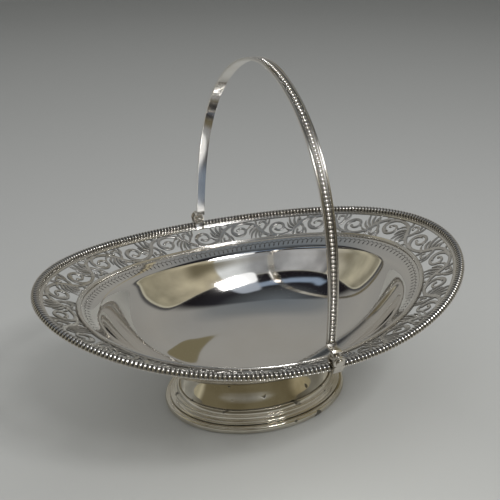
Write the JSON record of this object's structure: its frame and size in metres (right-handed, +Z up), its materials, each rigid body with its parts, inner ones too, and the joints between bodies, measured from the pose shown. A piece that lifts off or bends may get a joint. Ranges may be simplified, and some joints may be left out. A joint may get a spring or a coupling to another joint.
{
  "type": "swing handle basket",
  "caption": "Oval pedestal table basket with a boat-shaped bowl, pierced scroll border, ribbed rim, spreading oval foot and a swing handle hinged at its sides.",
  "frame": {"origin": "centre of the foot on the standing plane", "axes": "+X along the length of the basket, +Y across it under the handle, +Z up"},
  "size_m": [0.3568, 0.279, 0.2845],
  "materials": {
    "bowl_silver": "polished silver",
    "pierced_silver": "polished silver",
    "moulding_silver": "polished silver",
    "foot_silver": "polished silver",
    "strap_silver": "polished silver",
    "hinge_silver": "polished silver"
  },
  "bodies": {
    "basket": {"bowl": "bowl_silver", "bowl_edge_moulding": "moulding_silver", "pierced_border_1": "pierced_silver", "pierced_border_2": "pierced_silver", "pierced_border_3": "pierced_silver", "pierced_border_4": "pierced_silver", "rim_moulding_1": "moulding_silver", "rim_moulding_2": "moulding_silver", "rim_moulding_3": "moulding_silver", "rim_moulding_4": "moulding_silver", "foot_wire": "foot_silver", "foot_base": "foot_silver", "foot_neck": "foot_silver", "hinge_lug_far": "hinge_silver", "hinge_lug_near": "hinge_silver", "hinge_pin_far": "hinge_silver", "hinge_pin_near": "hinge_silver"},
    "handle": {"handle_strap": "strap_silver", "handle_knuckle_far": "hinge_silver", "handle_knuckle_near": "hinge_silver"}
  },
  "joints": [
    {"name": "handle_swing", "type": "hinge", "parent": "basket", "child": "handle", "pos_m": [0, 0, 0.1075], "axis": [0, 1, 0], "range_deg": [-83, 80]}
  ]
}
